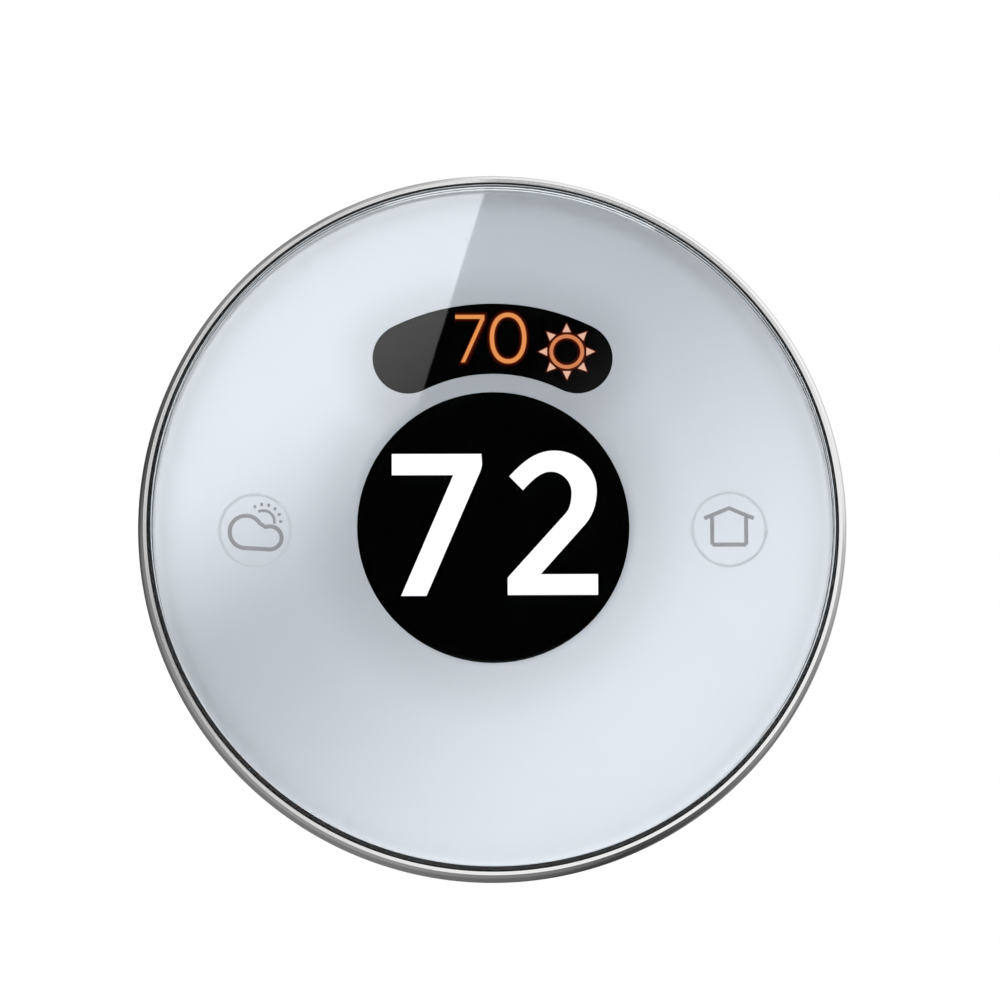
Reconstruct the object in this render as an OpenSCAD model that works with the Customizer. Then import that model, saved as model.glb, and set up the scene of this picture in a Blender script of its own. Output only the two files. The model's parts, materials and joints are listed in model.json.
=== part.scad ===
// Round wall thermostat: a wall plate with wiring terminals, a display unit that pushes onto it,
// and a control ring that turns around the unit.
// Every sub-part is drawn lying on its back: x to the right, y up the wall, z out of the wall.
// facing_room() then stands it up, so the row frame has +Z up, -Y into the room and y = 0 on the wall.

/* [Body] */
// Diameter of the control ring at its widest
ring_d = 89; // [88:0.5:91]
// Distance from the wall to the front of the lens
depth = 30; // [30:0.5:32]
// Gap between the wall and the rear edge of the display unit
wall_gap = 1.4; // [1.2:0.1:1.8]

/* [Lens and face] */
// Thickness of the clear front lens
lens_t = 4; // [3.6:0.1:4.2]
// Gap between the lens and the lip of the control ring
lens_gap = 0.5; // [0.4:0.05:0.6]
// Diameter of the round display window
display_d = 34; // [30:0.5:36]
// Radius of the middle line of the arched window
arch_r = 23.75; // [23.5:0.25:24.5]
// Width of the arched window
arch_w = 8.94; // [8:0.1:9.2]
// Angle from the top to each end of the arched window
arch_angle = 26.5; // [20:0.5:28]
// How far the middle of both windows sits below the middle of the ring
windows_drop = 0.35; // [0:0.05:0.6]
// Distance of each touch icon from the centre
touch_x = 29.5; // [29:0.25:30.5]

/* [Wall plate] */
// Thickness of the plate
plate_t = 2.2; // [2:0.1:2.4]
// Width of the opening for the wires
wire_opening_w = 17; // [14:0.5:17]
// Height of the opening for the wires
wire_opening_h = 26; // [20:1:26]
// Distance between the two screw slots
screw_spacing = 61; // [60:0.5:62]
// Width of a screw slot
screw_slot_w = 4.2; // [3.8:0.1:4.6]
// End-to-end length of a screw slot
screw_slot_l = 7; // [6:0.5:7.5]

/* [Terminals] */
// Distance between neighbouring terminals
terminal_pitch = 5.6; // [5.2:0.1:5.6]
// Height of the terminal blocks above the wall
block_top = 8.6; // [8.2:0.1:8.8]

/* [Battery] */
// Diameter of the battery
battery_d = 15.6; // [15:0.1:15.6]
// Length of the battery with its positive nub
battery_l = 27; // [26:0.5:27]

/* [Hidden] */
$fn = 96;
over = 1; // how far a cutting shape runs past the solid that it cuts

// Radii, from the outside inwards
ring_r = ring_d / 2;
ring_bore_r = ring_r - 3;
shell_r = ring_bore_r - 0.3;
shell_t = 1.4;
spigot_r = shell_r - shell_t - 0.2;
recess_r = spigot_r - 1.4;
plate_r = recess_r - 1.2;
skirt_r = ring_r - 2.5;
lip_r = ring_r - 1.5;
lens_r = lip_r - lens_gap;
print_r = lens_r - 0.05;

// Heights above the wall, from the wall outwards
rim_z = plate_t + 2.2;
recess_floor_z = 11.2;
floor_t = 1.4;
floor_z = recess_floor_z + floor_t;
skirt_z = 9;
ring_rear_z = skirt_z + 0.4;
board_t = 1.2;
main_board_z = floor_z + 1;
main_board_top = main_board_z + board_t;
lens_z = depth - lens_t;
film_t = 0.2;
mask_z = lens_z - film_t;
shell_front_z = mask_z - film_t;
shell_plate_z = shell_front_z - shell_t;
display_board_t = 1;
display_board_z = shell_front_z - 6.1;
display_board_top = display_board_z + display_board_t;

// Terminals
terminals = 5;
block_x = 10;
block_w = 13.6;
block_h = 30;
tab_x = block_x + 2.4;
tab_well_w = 4.2;
tab_w = 3;
tab_top = block_top + 1.6;
pin_x = block_x + 11;
pin_w = 0.8;

// Battery bay, below the wall plate
bay_y = -26.6;
bay_x = 15.2;
bay_h = battery_d + 0.4;
bay_wall = 1.2;
battery_z = 2.6 + battery_d / 2;
bay_top = battery_z + battery_d / 2 + 0.2;

// Fasteners
screw_at = [26, 22];
display_screws_at = [[0, 35], [33, -12], [-33, -12]];
main_screws_at = [[0, 33], [31, -10], [-31, -10]];

// Display module
lcd_w = 37;
lcd_h = 50;
lcd_y = 5.5;
lcd_t = 1.6;
lcd_z = mask_z - 0.1 - lcd_t;
lcd_frame_t = 1.4;

function terminal_y(i) = (i - (terminals - 1) / 2) * terminal_pitch;
function arc_points(centre, r, from, to, steps) =
  [for (i = [0:steps]) let (a = from + (to - from) * i / steps) centre + r * [cos(a), sin(a)]];

module facing_room() { rotate([90, 0, 0]) children(); }

// A turned part whose section is drawn with x as the radius and y as the height above the wall
module turned(section) { rotate_extrude($fn = 180) polygon(section); }

// A flat ring
module washer(inner, outer, bottom, top) {
  turned([[inner, bottom], [outer, bottom], [outer, top], [inner, top]]);
}

// A box centred on x and y
module block(at, size, bottom, top) {
  translate([at[0] - size[0] / 2, at[1] - size[1] / 2, bottom]) cube([size[0], size[1], top - bottom]);
}

// A plate with round corners, centred on x and y
module rounded_block(at, size, corner, bottom, top) {
  translate([at[0], at[1], bottom]) linear_extrude(top - bottom) {
    square([size[0] - 2 * corner, size[1]], center = true);
    square([size[0], size[1] - 2 * corner], center = true);
    for (sx = [-1, 1], sy = [-1, 1])
      translate([sx * (size[0] / 2 - corner), sy * (size[1] / 2 - corner)]) circle(r = corner, $fn = 32);
  }
}

module post(at, r, bottom, top) {
  translate([at[0], at[1], bottom]) cylinder(r = r, h = top - bottom, $fn = 48);
}

module at_four_corners() {
  for (sx = [-1, 1], sy = [-1, 1]) translate([sx * screw_at[0], sy * screw_at[1], 0]) children();
}

module both_sides() {
  children();
  mirror([1, 0, 0]) children();
}

// A round coil of wire: turns of wire_r around the z axis from one radius to another
module coil(wire_r, r_start, r_end, height, turns) {
  sides = 8;
  per_turn = 20;
  rings = turns * per_turn;
  points = [
    for (i = [0:rings], k = [0:sides - 1])
      let (
        t = i / rings,
        a = 360 * turns * t,
        b = 360 * k / sides,
        r = r_start + (r_end - r_start) * t + wire_r * cos(b)
      )
      [r * cos(a), r * sin(a), height * t + wire_r * sin(b)]
  ];
  faces = concat(
    [[for (k = [sides - 1:-1:0]) k]],
    [for (i = [0:rings - 1], k = [0:sides - 1])
      let (n = (k + 1) % sides)
      [i * sides + k, i * sides + n, (i + 1) * sides + n, (i + 1) * sides + k]],
    [[for (k = [0:sides - 1]) rings * sides + k]]
  );
  polyhedron(points, [for (f = faces) [for (k = [len(f) - 1:-1:0]) f[k]]]);
}

// A pan-head screw pointing along +z, its head below z = 0, with a cross recess
module screw(head_r, head_t, shank_r, shank_l) {
  cross = head_r * 1.2;
  slot = head_r * 0.28;
  difference() {
    union() {
      turned([[0, -head_t], [head_r * 0.7, -head_t], [head_r, -head_t * 0.55], [head_r, 0], [0, 0]]);
      cylinder(r = shank_r, h = shank_l - shank_r, $fn = 32);
      translate([0, 0, shank_l - shank_r]) cylinder(r1 = shank_r, r2 = shank_r * 0.3, h = shank_r, $fn = 32);
    }
    block([0, 0], [cross, slot], -head_t - over, -head_t * 0.35);
    block([0, 0], [slot, cross], -head_t - over, -head_t * 0.35);
  }
}

// ---- Wall plate and its terminals ----

module wall_plate() {
  grip_angles = [20, 160, 200, 340];
  rim_t = 1.6;
  boss_r = 5.2;
  notch_x = bay_x + bay_wall + 1;
  notch_top = bay_y + bay_h / 2 + bay_wall + 0.4;
  color("whitesmoke")
    difference() {
      union() {
        turned([[0, 0], [plate_r, 0], [plate_r, rim_z - 0.3], [plate_r - 0.3, rim_z],
          [plate_r - rim_t, rim_z], [plate_r - rim_t, plate_t], [0, plate_t]]);
        // collar round the wire opening
        rounded_block([0, 0], [wire_opening_w + 2.4, wire_opening_h + 2.4], 3.6, 0, plate_t + 1.4);
        // bosses round the screw slots
        both_sides() post([screw_spacing / 2, 0], boss_r, 0, plate_t + 1);
        // rails above and below each terminal block
        both_sides()
          for (s = [-1, 1])
            block([block_x + block_w / 2, s * (block_h / 2 + 0.7)], [block_w, 1], 0, plate_t + 2);
        // saddles for the level vial
        for (s = [-1, 1]) block([s * 7, level_y], [1.8, 7.6], 0, level_z - 0.4);
        for (a = grip_angles) rotate([0, 0, a]) grip_bump();
        // arrow that points up the wall
        translate([0, 19.6, 0]) linear_extrude(plate_t + 0.4) polygon([[-2, -1.4], [2, -1.4], [0, 1.8]]);
      }
      rounded_block([0, 0], [wire_opening_w, wire_opening_h], 2.5, -over, rim_z + over);
      both_sides() screw_slot();
      // notch for the battery bay
      translate([-notch_x, -plate_r - over, -over])
        cube([2 * notch_x, plate_r + over + notch_top, rim_z + 8]);
      // slits that let the rim bend at each grip bump
      for (a = grip_angles, s = [-1, 1])
        rotate([0, 0, a]) block([plate_r - 1, s * 4.6], [6, 1], -over, rim_z + over);
      translate([0, level_y, level_z]) rotate([0, 90, 0]) cylinder(r = level_r + 0.05, h = level_l, center = true);
      // shallow relief in the rear face
      washer(17.5, 24.5, -over, 0.8);
    }
}

level_y = 26.5;
level_r = 3;
level_z = plate_t + 0.3 + level_r;
level_l = 20;

module screw_slot() {
  half = (screw_slot_l - screw_slot_w) / 2;
  translate([screw_spacing / 2, 0, -over]) {
    for (s = [-1, 1]) translate([s * half, 0, 0]) cylinder(d = screw_slot_w, h = rim_z + 2 * over, $fn = 48);
    translate([-half, -screw_slot_w / 2, 0]) cube([2 * half, screw_slot_w, rim_z + 2 * over]);
  }
}

// A bump on a springy stretch of the rim, which presses on the inside of the unit
module grip_bump() {
  translate([plate_r - 0.3, 0, 2]) rotate([90, 0, 0])
    linear_extrude(3, center = true) polygon([[-0.4, 0], [1.15, 0.7], [1.42, 1.1], [1.15, 1.5], [-0.4, 2.2]]);
}

module terminal_block() {
  chamber_floor = plate_t + 0.6;
  wire_z = 5;
  color("gainsboro")
    difference() {
      translate([block_x, 0, plate_t]) rotate([90, 0, 0]) linear_extrude(block_h, center = true)
        polygon([[0, 0], [block_w, 0], [block_w, block_top - plate_t - 1], [block_w - 1, block_top - plate_t],
          [0.6, block_top - plate_t], [0, block_top - plate_t - 0.6]]);
      for (i = [0:terminals - 1])
        translate([0, terminal_y(i), 0]) {
          // chamber of the clamp
          block([block_x + 7.3, 0], [10.2, 3], chamber_floor, block_top - 1.4);
          // well of the push tab
          block([tab_x + tab_well_w / 2, 0], [tab_well_w, 3.4], chamber_floor + 1.6, block_top + over);
          // wire entry, wider at its mouth
          translate([block_x - over, -1.2, wire_z - 1.2]) cube([4, 2.4, 2.4]);
          translate([block_x - over, -1.7, wire_z - 1.7]) cube([over + 0.7, 3.4, 3.4]);
          // socket of the pin
          block([pin_x, 0], [1.8, 1.8], block_top - 2, block_top + over);
          block([pin_x, 0], [2.6, 2.6], block_top - 0.4, block_top + over);
        }
      // grooves between the terminals
      for (i = [0:terminals - 2])
        translate([block_x - over, terminal_y(i) + terminal_pitch / 2 - 0.25, block_top - 0.6])
          cube([block_w + 2 * over, 0.5, 2]);
    }
}

module terminal_clamps() {
  z0 = plate_t + 0.65;
  metal = 0.35;
  color("goldenrod")
    for (i = [0:terminals - 1])
      translate([0, terminal_y(i), 0]) rotate([90, 0, 0]) linear_extrude(2.4, center = true) {
        translate([block_x + 2.6, z0]) square([9.6, metal]);
        // leaf that grips the wire
        translate([block_x + 7.6, z0 + 0.4]) rotate(165) square([4, metal]);
        // two leaves that grip the pin
        for (s = [-1, 1]) translate([pin_x + s * 0.9 - metal / 2, z0]) square([metal, 3.2]);
      }
}

// A push tab; i counts upwards from the lowest terminal
module terminal_tab(i) {
  left = tab_x + 0.3;
  right = tab_x + tab_well_w - 0.3;
  foot_z = 6.2;
  section = [[left + 0.5, foot_z], [right - 0.5, foot_z], [right - 0.5, foot_z + 0.8], [right, foot_z + 0.8],
    [right, tab_top - 0.5], [right - 0.4, tab_top], [right - 0.9, tab_top - 0.35], [left + 0.9, tab_top - 0.35],
    [left + 0.4, tab_top], [left, tab_top - 0.4], [left, foot_z + 0.8], [left + 0.5, foot_z + 0.8]];
  color("orangered")
    translate([0, terminal_y(i), 0]) rotate([90, 0, 0]) linear_extrude(tab_w, center = true) polygon(section);
}

module level_vial() {
  color([0.85, 0.95, 0.85, 0.5])
    translate([0, level_y, level_z]) rotate([0, 90, 0])
      difference() {
        cylinder(r = level_r, h = level_l, center = true);
        cylinder(r = level_r - 0.7, h = level_l + over, center = true);
      }
}

module level_liquid() {
  color("greenyellow")
    translate([0, level_y, level_z])
      difference() {
        rotate([0, 90, 0]) cylinder(r = level_r - 0.75, h = level_l - 1, center = true);
        translate([0, level_r - 1.1, 0]) sphere(r = 1.5);
      }
}

module level_end_caps() {
  cap_t = 1.2;
  color("dimgray")
    translate([0, level_y, level_z])
      both_sides()
        translate([level_l / 2, 0, 0]) rotate([0, 90, 0]) {
          cylinder(r = level_r, h = cap_t);
          translate([0, 0, -0.4]) cylinder(r = level_r - 0.8, h = 0.6);
        }
}

// ---- Display unit ----

module rear_housing() {
  channel_in = recess_r + 1.3;
  channel_out = skirt_r - 1.2;
  bay_outer_z = wall_gap + 1;
  color("white")
    difference() {
      union() {
        // skirt, floor and spigot, with the halo channel behind
        turned([[0, recess_floor_z], [recess_r, recess_floor_z], [recess_r, wall_gap + 0.6],
          [recess_r + 0.4, wall_gap], [channel_in, wall_gap],
          [channel_in, 8], [channel_out, 8], [channel_out, wall_gap + 2.2], [skirt_r - 0.6, wall_gap + 2.2],
          [skirt_r, skirt_z - 0.3], [skirt_r - 0.3, skirt_z], [spigot_r, skirt_z], [spigot_r, floor_z],
          [0, floor_z]]);
        // battery bay
        block([0, bay_y], [2 * (bay_x + bay_wall), bay_h + 2 * bay_wall], bay_outer_z, bay_top + 1);
        for (p = main_screws_at) post(p, 2.2, recess_floor_z, main_board_z);
      }
      block([0, bay_y], [2 * bay_x, bay_h], -over, bay_top);
      // windows for the two rows of pins
      both_sides() block([pin_x, 0], [3.2, 27.2], recess_floor_z - over, floor_z + over);
      at_four_corners() post([0, 0], 1.1, recess_floor_z - over, floor_z + over);
      for (p = main_screws_at) post(p, 0.7, recess_floor_z + 0.6, main_board_z + over);
      // air slots in front of the humidity sensor
      for (k = [-3:3]) rounded_block([k * 2.6, 25.5], [1.2, 9 - abs(k)], 0.55, recess_floor_z - over, floor_z + over);
    }
}

module front_housing() {
  groove = 0.7;
  boss_r = 2.8;
  color([0.22, 0.23, 0.25])
    difference() {
      union() {
        turned([[shell_r - shell_t, skirt_z], [shell_r, skirt_z],
          [shell_r, glide_rear_z], [shell_r - groove, glide_rear_z],
          [shell_r - groove, glide_rear_z + glide_h], [shell_r, glide_rear_z + glide_h],
          [shell_r, glide_front_z], [shell_r - groove, glide_front_z],
          [shell_r - groove, glide_front_z + glide_h], [shell_r, glide_front_z + glide_h],
          [shell_r, shell_front_z], [0, shell_front_z], [0, shell_plate_z], [shell_r - shell_t, shell_plate_z]]);
        at_four_corners() post([0, 0], boss_r, floor_z, shell_plate_z + 0.2);
        for (p = display_screws_at) post(p, 2.2, display_board_top, shell_plate_z + 0.2);
      }
      block([0, lcd_y], [lcd_w + 0.4, lcd_h + 0.4], shell_plate_z - over, shell_front_z + over);
      at_four_corners() post([0, 0], 0.8, floor_z - over, 20);
      for (p = display_screws_at) post(p, 0.7, display_board_top - over, shell_front_z - 0.8);
      both_sides() post([touch_x, 0], 3.6, shell_plate_z - over, shell_front_z + over);
      post([0, -27], 2, shell_plate_z - over, shell_front_z + over);
    }
}

glide_h = 2;
glide_rear_z = 10.2;
glide_front_z = shell_plate_z - 2.8;

// A split bearing ring that sits in a groove of the front housing
module glide_ring(z) {
  play = 0.05;
  color("ivory")
    difference() {
      turned([[shell_r - 0.7 + play, z + play], [ring_bore_r - 0.06, z + play],
        [ring_bore_r - 0.06, z + glide_h - play], [shell_r - 0.7 + play, z + glide_h - play]]);
      translate([shell_r - 2, -0.75, z - over]) cube([4, 1.5, glide_h + 2 * over]);
    }
}

module halo_light_guide() {
  color([0.95, 0.95, 0.95, 0.7]) {
    inner = recess_r + 1.35;
    outer = skirt_r - 0.65;
    turned([[inner, wall_gap], [outer - 0.6, wall_gap], [outer - 0.15, wall_gap + 0.5], [outer, wall_gap + 1.2],
      [outer, wall_gap + 2.1], [inner + 1, wall_gap + 2.1], [inner + 1, 6.6], [inner + 0.2, 6.6],
      [inner + 0.2, wall_gap + 2.1], [inner, wall_gap + 2.1]]);
  }
}

module halo_led_strip() {
  color("darkgreen") washer(recess_r + 1.4, skirt_r - 1.3, 7.5, 7.9);
}

module halo_leds() {
  color("lightyellow")
    for (a = [15:30:345]) rotate([0, 0, a]) block([recess_r + 1.95, 0], [0.8, 1.6], 6.8, 7.5);
}

module main_board() {
  color("darkgreen")
    difference() {
      post([0, 0], spigot_r - 2.2, main_board_z, main_board_top);
      block([0, bay_y - 6], [2 * (bay_x + bay_wall + 0.8), bay_h + 2 * bay_wall + 13.6], main_board_z - over, main_board_top + over);
      at_four_corners() post([0, 0], 3.2, main_board_z - over, main_board_top + over);
      for (p = main_screws_at) post(p, 1.1, main_board_z - over, main_board_top + over);
    }
}

module display_board() {
  color("darkgreen")
    difference() {
      post([0, 0], spigot_r - 0.8, display_board_z, display_board_top);
      at_four_corners() post([0, 0], 3.2, display_board_z - over, display_board_top + over);
      for (p = display_screws_at) post(p, 1, display_board_z - over, display_board_top + over);
    }
}

module relays() {
  places = [[-22, 11], [-22, 2.5], [-22, -6], [22, 11], [22, 2.5]];
  color("white") for (p = places) rounded_block(p, [10, 7], 0.4, main_board_top, main_board_top + 4.4);
}

module board_connector() {
  color("black")
    difference() {
      block([0, 8], [14, 4.4], main_board_top, display_board_z);
      for (s = [-1, 1]) block([0, 8 + s * 2.4], [12, 1.2], main_board_top + 1.6, display_board_z - 1.2);
    }
}

module wifi_module() {
  color("silver") rounded_block([0, 21.5], [16, 13], 0.5, display_board_z - 2.4, display_board_z);
}

module microcontroller() {
  color("black")
    difference() {
      block([0, -3], [9, 9], main_board_top, main_board_top + 1.4);
      post([-3.4, 0.4], 0.4, main_board_top + 1.2, main_board_top + 2);
    }
}

module storage_capacitors() {
  color("dimgray")
    both_sides() post([9, -10], 3.5, main_board_top, main_board_top + 4.2);
}

module hall_sensors() {
  color("black")
    for (a = [60, 68]) rotate([0, 0, a]) block([35.8, 0], [1.6, 3], main_board_top, main_board_top + 1.2);
}

module humidity_sensor() {
  color("black")
    difference() {
      block([0, 25.5], [3, 3], main_board_z - 0.9, main_board_z);
      post([0, 25.5], 0.5, main_board_z - 2, main_board_z - 0.5);
    }
}

module pin_header() {
  color("black")
    difference() {
      block([pin_x, 0], [2.8, 26.8], recess_floor_z - 0.2, main_board_z);
      for (i = [0:terminals - 1])
        block([pin_x, terminal_y(i)], [pin_w + 0.1, pin_w + 0.1], recess_floor_z - 2, main_board_z + over);
    }
}

module header_pins() {
  tip = 0.6;
  color("gold")
    both_sides()
      for (i = [0:terminals - 1])
        translate([pin_x, terminal_y(i), 4.2]) {
          translate([-pin_w / 2, -pin_w / 2, tip]) cube([pin_w, pin_w, main_board_z - 4.2 - tip]);
          // tapered tip
          rotate([0, 0, 45]) cylinder(r1 = 0.2, r2 = pin_w / sqrt(2), h = tip, $fn = 4);
        }
}

module battery() {
  nub = 1;
  end = battery_l - 12.4;
  color("silver")
    translate([end - battery_l, bay_y, battery_z]) rotate([0, 90, 0]) {
      turned([[0, 0], [battery_d / 2 - 0.6, 0], [battery_d / 2, 0.6], [battery_d / 2, battery_l - nub - 0.8],
        [battery_d / 2 - 0.8, battery_l - nub], [3.2, battery_l - nub], [3.2, battery_l - 0.3],
        [2.9, battery_l], [0, battery_l]]);
    }
}

module battery_contact() {
  color("silver") block([bay_x - 0.35, bay_y], [0.3, 9], 6, bay_top - 0.6);
}

module battery_spring() {
  wire_r = 0.25;
  length = bay_x - 12.4;
  color("silver")
    translate([-bay_x + wire_r + 0.05, bay_y, battery_z]) rotate([0, 90, 0])
      coil(wire_r, 4.4, 1.6, length - 2 * wire_r - 0.15, 3);
}

module lcd_panel() {
  color("black") block([0, lcd_y], [lcd_w, lcd_h], lcd_z, lcd_z + lcd_t);
}

module lcd_backlight() {
  color("white") block([0, lcd_y], [lcd_w - 0.6, lcd_h - 0.6], display_board_top + 0.9, lcd_z - 0.25);
}

module lcd_frame() {
  bottom = display_board_top + 0.2;
  color("white")
    difference() {
      block([0, lcd_y], [lcd_w + 2 * lcd_frame_t, lcd_h + 2 * lcd_frame_t], bottom, shell_plate_z - 0.05);
      block([0, lcd_y], [lcd_w, lcd_h], bottom + 0.6, shell_plate_z + over);
      block([0, lcd_y], [lcd_w - 6, lcd_h - 6], bottom - over, bottom + over);
      // way out for the flex cable
      block([0, lcd_y - lcd_h / 2], [14, 6], shell_plate_z - 0.6, shell_plate_z + over);
    }
}

module lcd_flex_cable() {
  film = 0.12;
  edge = lcd_y - lcd_h / 2;
  top = lcd_z - 0.06;
  color("peru") {
    translate([0, edge, 0]) rotate([90, 0, 90]) linear_extrude(11, center = true)
      polygon(concat([[1.5, top], [1.5, top - film]],
        arc_points([-2, top - film - 0.6], 0.6, 90, 180, 4),
        [[-2.6, display_board_top + 1.4], [-2.6 - film, display_board_top + 1.4]],
        arc_points([-2, top - film - 0.6], 0.6 + film, 180, 90, 4)));
    block([0, edge - 3.2], [14, 3], display_board_top, display_board_top + 1.4);
  }
}

module proximity_sensor() {
  color("black") {
    block([0, -27], [5, 3.4], display_board_top, display_board_top + 2);
    translate([0, -27, display_board_top + 1.9])
      turned([[0, 0], [1.4, 0], [1.4, 2], [1, 2.8], [0, 3.1]]);
  }
}

module touch_springs() {
  wire_r = 0.3;
  height = mask_z - display_board_top;
  color("silver")
    both_sides()
      translate([touch_x, 0, display_board_top + wire_r]) coil(wire_r, 2.8, 2.2, height - 2 * wire_r, 5);
}

module arch_window() {
  for (s = [-1, 1])
    rotate([0, 0, s * arch_angle]) translate([0, arch_r, -over]) cylinder(d = arch_w, h = 2 * over);
  difference() {
    translate([0, 0, -over]) rotate([0, 0, 90 - arch_angle]) rotate_extrude(angle = 2 * arch_angle, $fn = 180)
      translate([arch_r - arch_w / 2, 0]) square([arch_w, 2 * over]);
  }
}

module face_mask() {
  color([0.86, 0.88, 0.9])
    translate([0, 0, mask_z])
      difference() {
        cylinder(r = print_r, h = film_t, $fn = 180);
        translate([0, -windows_drop, 0]) {
          translate([0, 0, -over]) cylinder(d = display_d, h = 2 * over);
          arch_window();
        }
      }
}

module lens_adhesive() {
  color("black") washer(shell_r - 3.4, shell_r - 0.2, shell_front_z, mask_z);
}

module front_lens() {
  front = depth;
  color([0.9, 0.95, 1, 0.3])
    turned([[0, lens_z], [lens_r - 0.2, lens_z], [lens_r, lens_z + 0.3], [lens_r, front - 0.9],
      [lens_r - 0.12, front - 0.5], [lens_r - 0.4, front - 0.2], [lens_r - 0.9, front], [0, front]]);
}

module housing_screws() {
  color("silver")
    at_four_corners() translate([0, 0, recess_floor_z]) screw(1.9, 1.3, 0.78, 6.4);
}

module display_board_screws() {
  color("silver")
    for (p = display_screws_at) translate([p[0], p[1], display_board_z]) screw(1.7, 1.1, 0.68, 4.4);
}

module main_board_screws() {
  color("silver")
    for (p = main_screws_at) translate([p[0], p[1], main_board_top]) mirror([0, 0, 1]) screw(1.7, 1.1, 0.68, 2.8);
}

// ---- Control ring ----

module control_ring() {
  shoulder_z = mask_z - 0.2;
  crest_z = depth - 2;
  wide_z = depth - 7.5;
  magnet_groove = 0.95;
  color("silver")
    turned(concat(
      [[ring_bore_r, ring_rear_z], [skirt_r + 0.5, ring_rear_z], [skirt_r + 0.9, ring_rear_z + 0.6]],
      [[ring_r - 0.9, ring_rear_z + 3.6], [ring_r - 0.35, ring_rear_z + 7.2], [ring_r - 0.06, wide_z - 2.6]],
      [[ring_r, wide_z], [ring_r - 0.04, wide_z + 1.8], [ring_r - 0.16, crest_z - 2], [ring_r - 0.36, crest_z - 1]],
      [[ring_r - 0.62, crest_z - 0.35], [ring_r - 0.95, crest_z], [lip_r + 0.12, crest_z], [lip_r, crest_z - 0.12]],
      [[lip_r, shoulder_z], [ring_bore_r, shoulder_z], [ring_bore_r, magnet_z + magnet_h]],
      [[ring_bore_r + magnet_groove, magnet_z + magnet_h], [ring_bore_r + magnet_groove, magnet_z]],
      [[ring_bore_r, magnet_z]]));
}

magnet_z = 14;
magnet_h = 2.4;

module encoder_magnet_ring() {
  color([0.15, 0.15, 0.16])
    washer(ring_bore_r + 0.12, ring_bore_r + 0.9, magnet_z + 0.05, magnet_z + magnet_h - 0.05);
}

facing_room() wall_plate();
facing_room() mirror([1, 0, 0]) terminal_block();  // terminal_block_left
facing_room() terminal_block();  // terminal_block_right
facing_room() mirror([1, 0, 0]) terminal_clamps();  // terminal_clamps_left
facing_room() terminal_clamps();  // terminal_clamps_right
facing_room() level_vial();
facing_room() level_liquid();
facing_room() level_end_caps();
for (i = [0:terminals - 1]) {
  facing_room() mirror([1, 0, 0]) terminal_tab(i);
  facing_room() terminal_tab(i);
}
facing_room() rear_housing();
facing_room() front_housing();
facing_room() halo_light_guide();
facing_room() halo_led_strip();
facing_room() halo_leds();
facing_room() glide_ring(glide_front_z);  // glide_ring_front
facing_room() glide_ring(glide_rear_z);  // glide_ring_rear
facing_room() main_board();
facing_room() display_board();
facing_room() relays();
facing_room() board_connector();
facing_room() wifi_module();
facing_room() microcontroller();
facing_room() storage_capacitors();
facing_room() hall_sensors();
facing_room() humidity_sensor();
facing_room() mirror([1, 0, 0]) pin_header();  // pin_header_left
facing_room() pin_header();  // pin_header_right
facing_room() header_pins();
facing_room() battery_contact();
facing_room() battery_spring();
facing_room() battery();
facing_room() lcd_panel();
facing_room() lcd_backlight();
facing_room() lcd_frame();
facing_room() lcd_flex_cable();
facing_room() proximity_sensor();
facing_room() touch_springs();
facing_room() face_mask();
facing_room() lens_adhesive();
facing_room() front_lens();
facing_room() housing_screws();
facing_room() display_board_screws();
facing_room() main_board_screws();
facing_room() control_ring();
facing_room() encoder_magnet_ring();
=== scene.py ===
import json
import math

import bmesh
import bpy
from mathutils import Matrix, Quaternion, Vector


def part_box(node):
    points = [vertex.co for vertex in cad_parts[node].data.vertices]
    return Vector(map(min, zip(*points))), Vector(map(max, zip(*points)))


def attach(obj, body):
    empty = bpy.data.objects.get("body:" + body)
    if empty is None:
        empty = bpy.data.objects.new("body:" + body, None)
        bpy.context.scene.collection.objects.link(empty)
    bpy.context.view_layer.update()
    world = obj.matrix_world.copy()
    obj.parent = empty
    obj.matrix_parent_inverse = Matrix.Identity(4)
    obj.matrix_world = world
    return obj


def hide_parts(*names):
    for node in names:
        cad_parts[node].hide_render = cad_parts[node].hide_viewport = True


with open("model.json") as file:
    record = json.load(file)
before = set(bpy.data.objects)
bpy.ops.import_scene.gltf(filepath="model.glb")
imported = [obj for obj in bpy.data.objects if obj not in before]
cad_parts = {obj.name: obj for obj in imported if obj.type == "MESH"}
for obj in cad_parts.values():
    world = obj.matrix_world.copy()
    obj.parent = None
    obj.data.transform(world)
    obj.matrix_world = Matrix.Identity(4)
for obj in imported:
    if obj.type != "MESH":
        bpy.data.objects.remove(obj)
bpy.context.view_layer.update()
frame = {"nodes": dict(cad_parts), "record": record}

MM = 0.001
SLOT_OF = {s["node"]: s["material_slot"] for s in frame["record"]["subparts"]}

# Planes of the face, as distances out of the wall in mm
LENS_FRONT = -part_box("front_lens")[0].y / MM
LENS_BACK = -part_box("front_lens")[1].y / MM
PRINT_TOP = -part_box("face_mask")[0].y / MM
SCREEN_TOP = -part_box("lcd_panel")[0].y / MM
RING_REAR = -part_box("control_ring")[1].y / MM
RING_CREST = -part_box("control_ring")[0].y / MM
RING_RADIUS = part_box("control_ring")[1].x / MM
LENS_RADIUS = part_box("front_lens")[1].x / MM


# ---------------------------------------------------------------- materials

def node_group(name, inputs, outputs):
    """An empty shader node group with named sockets."""
    group = bpy.data.node_groups.new(name, "ShaderNodeTree")
    for label, kind, value in inputs:
        socket = group.interface.new_socket(name=label, in_out="INPUT", socket_type=kind)
        socket.default_value = value
    for label, kind in outputs:
        group.interface.new_socket(name=label, in_out="OUTPUT", socket_type=kind)
    return group, group.nodes.new("NodeGroupInput"), group.nodes.new("NodeGroupOutput")


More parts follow.
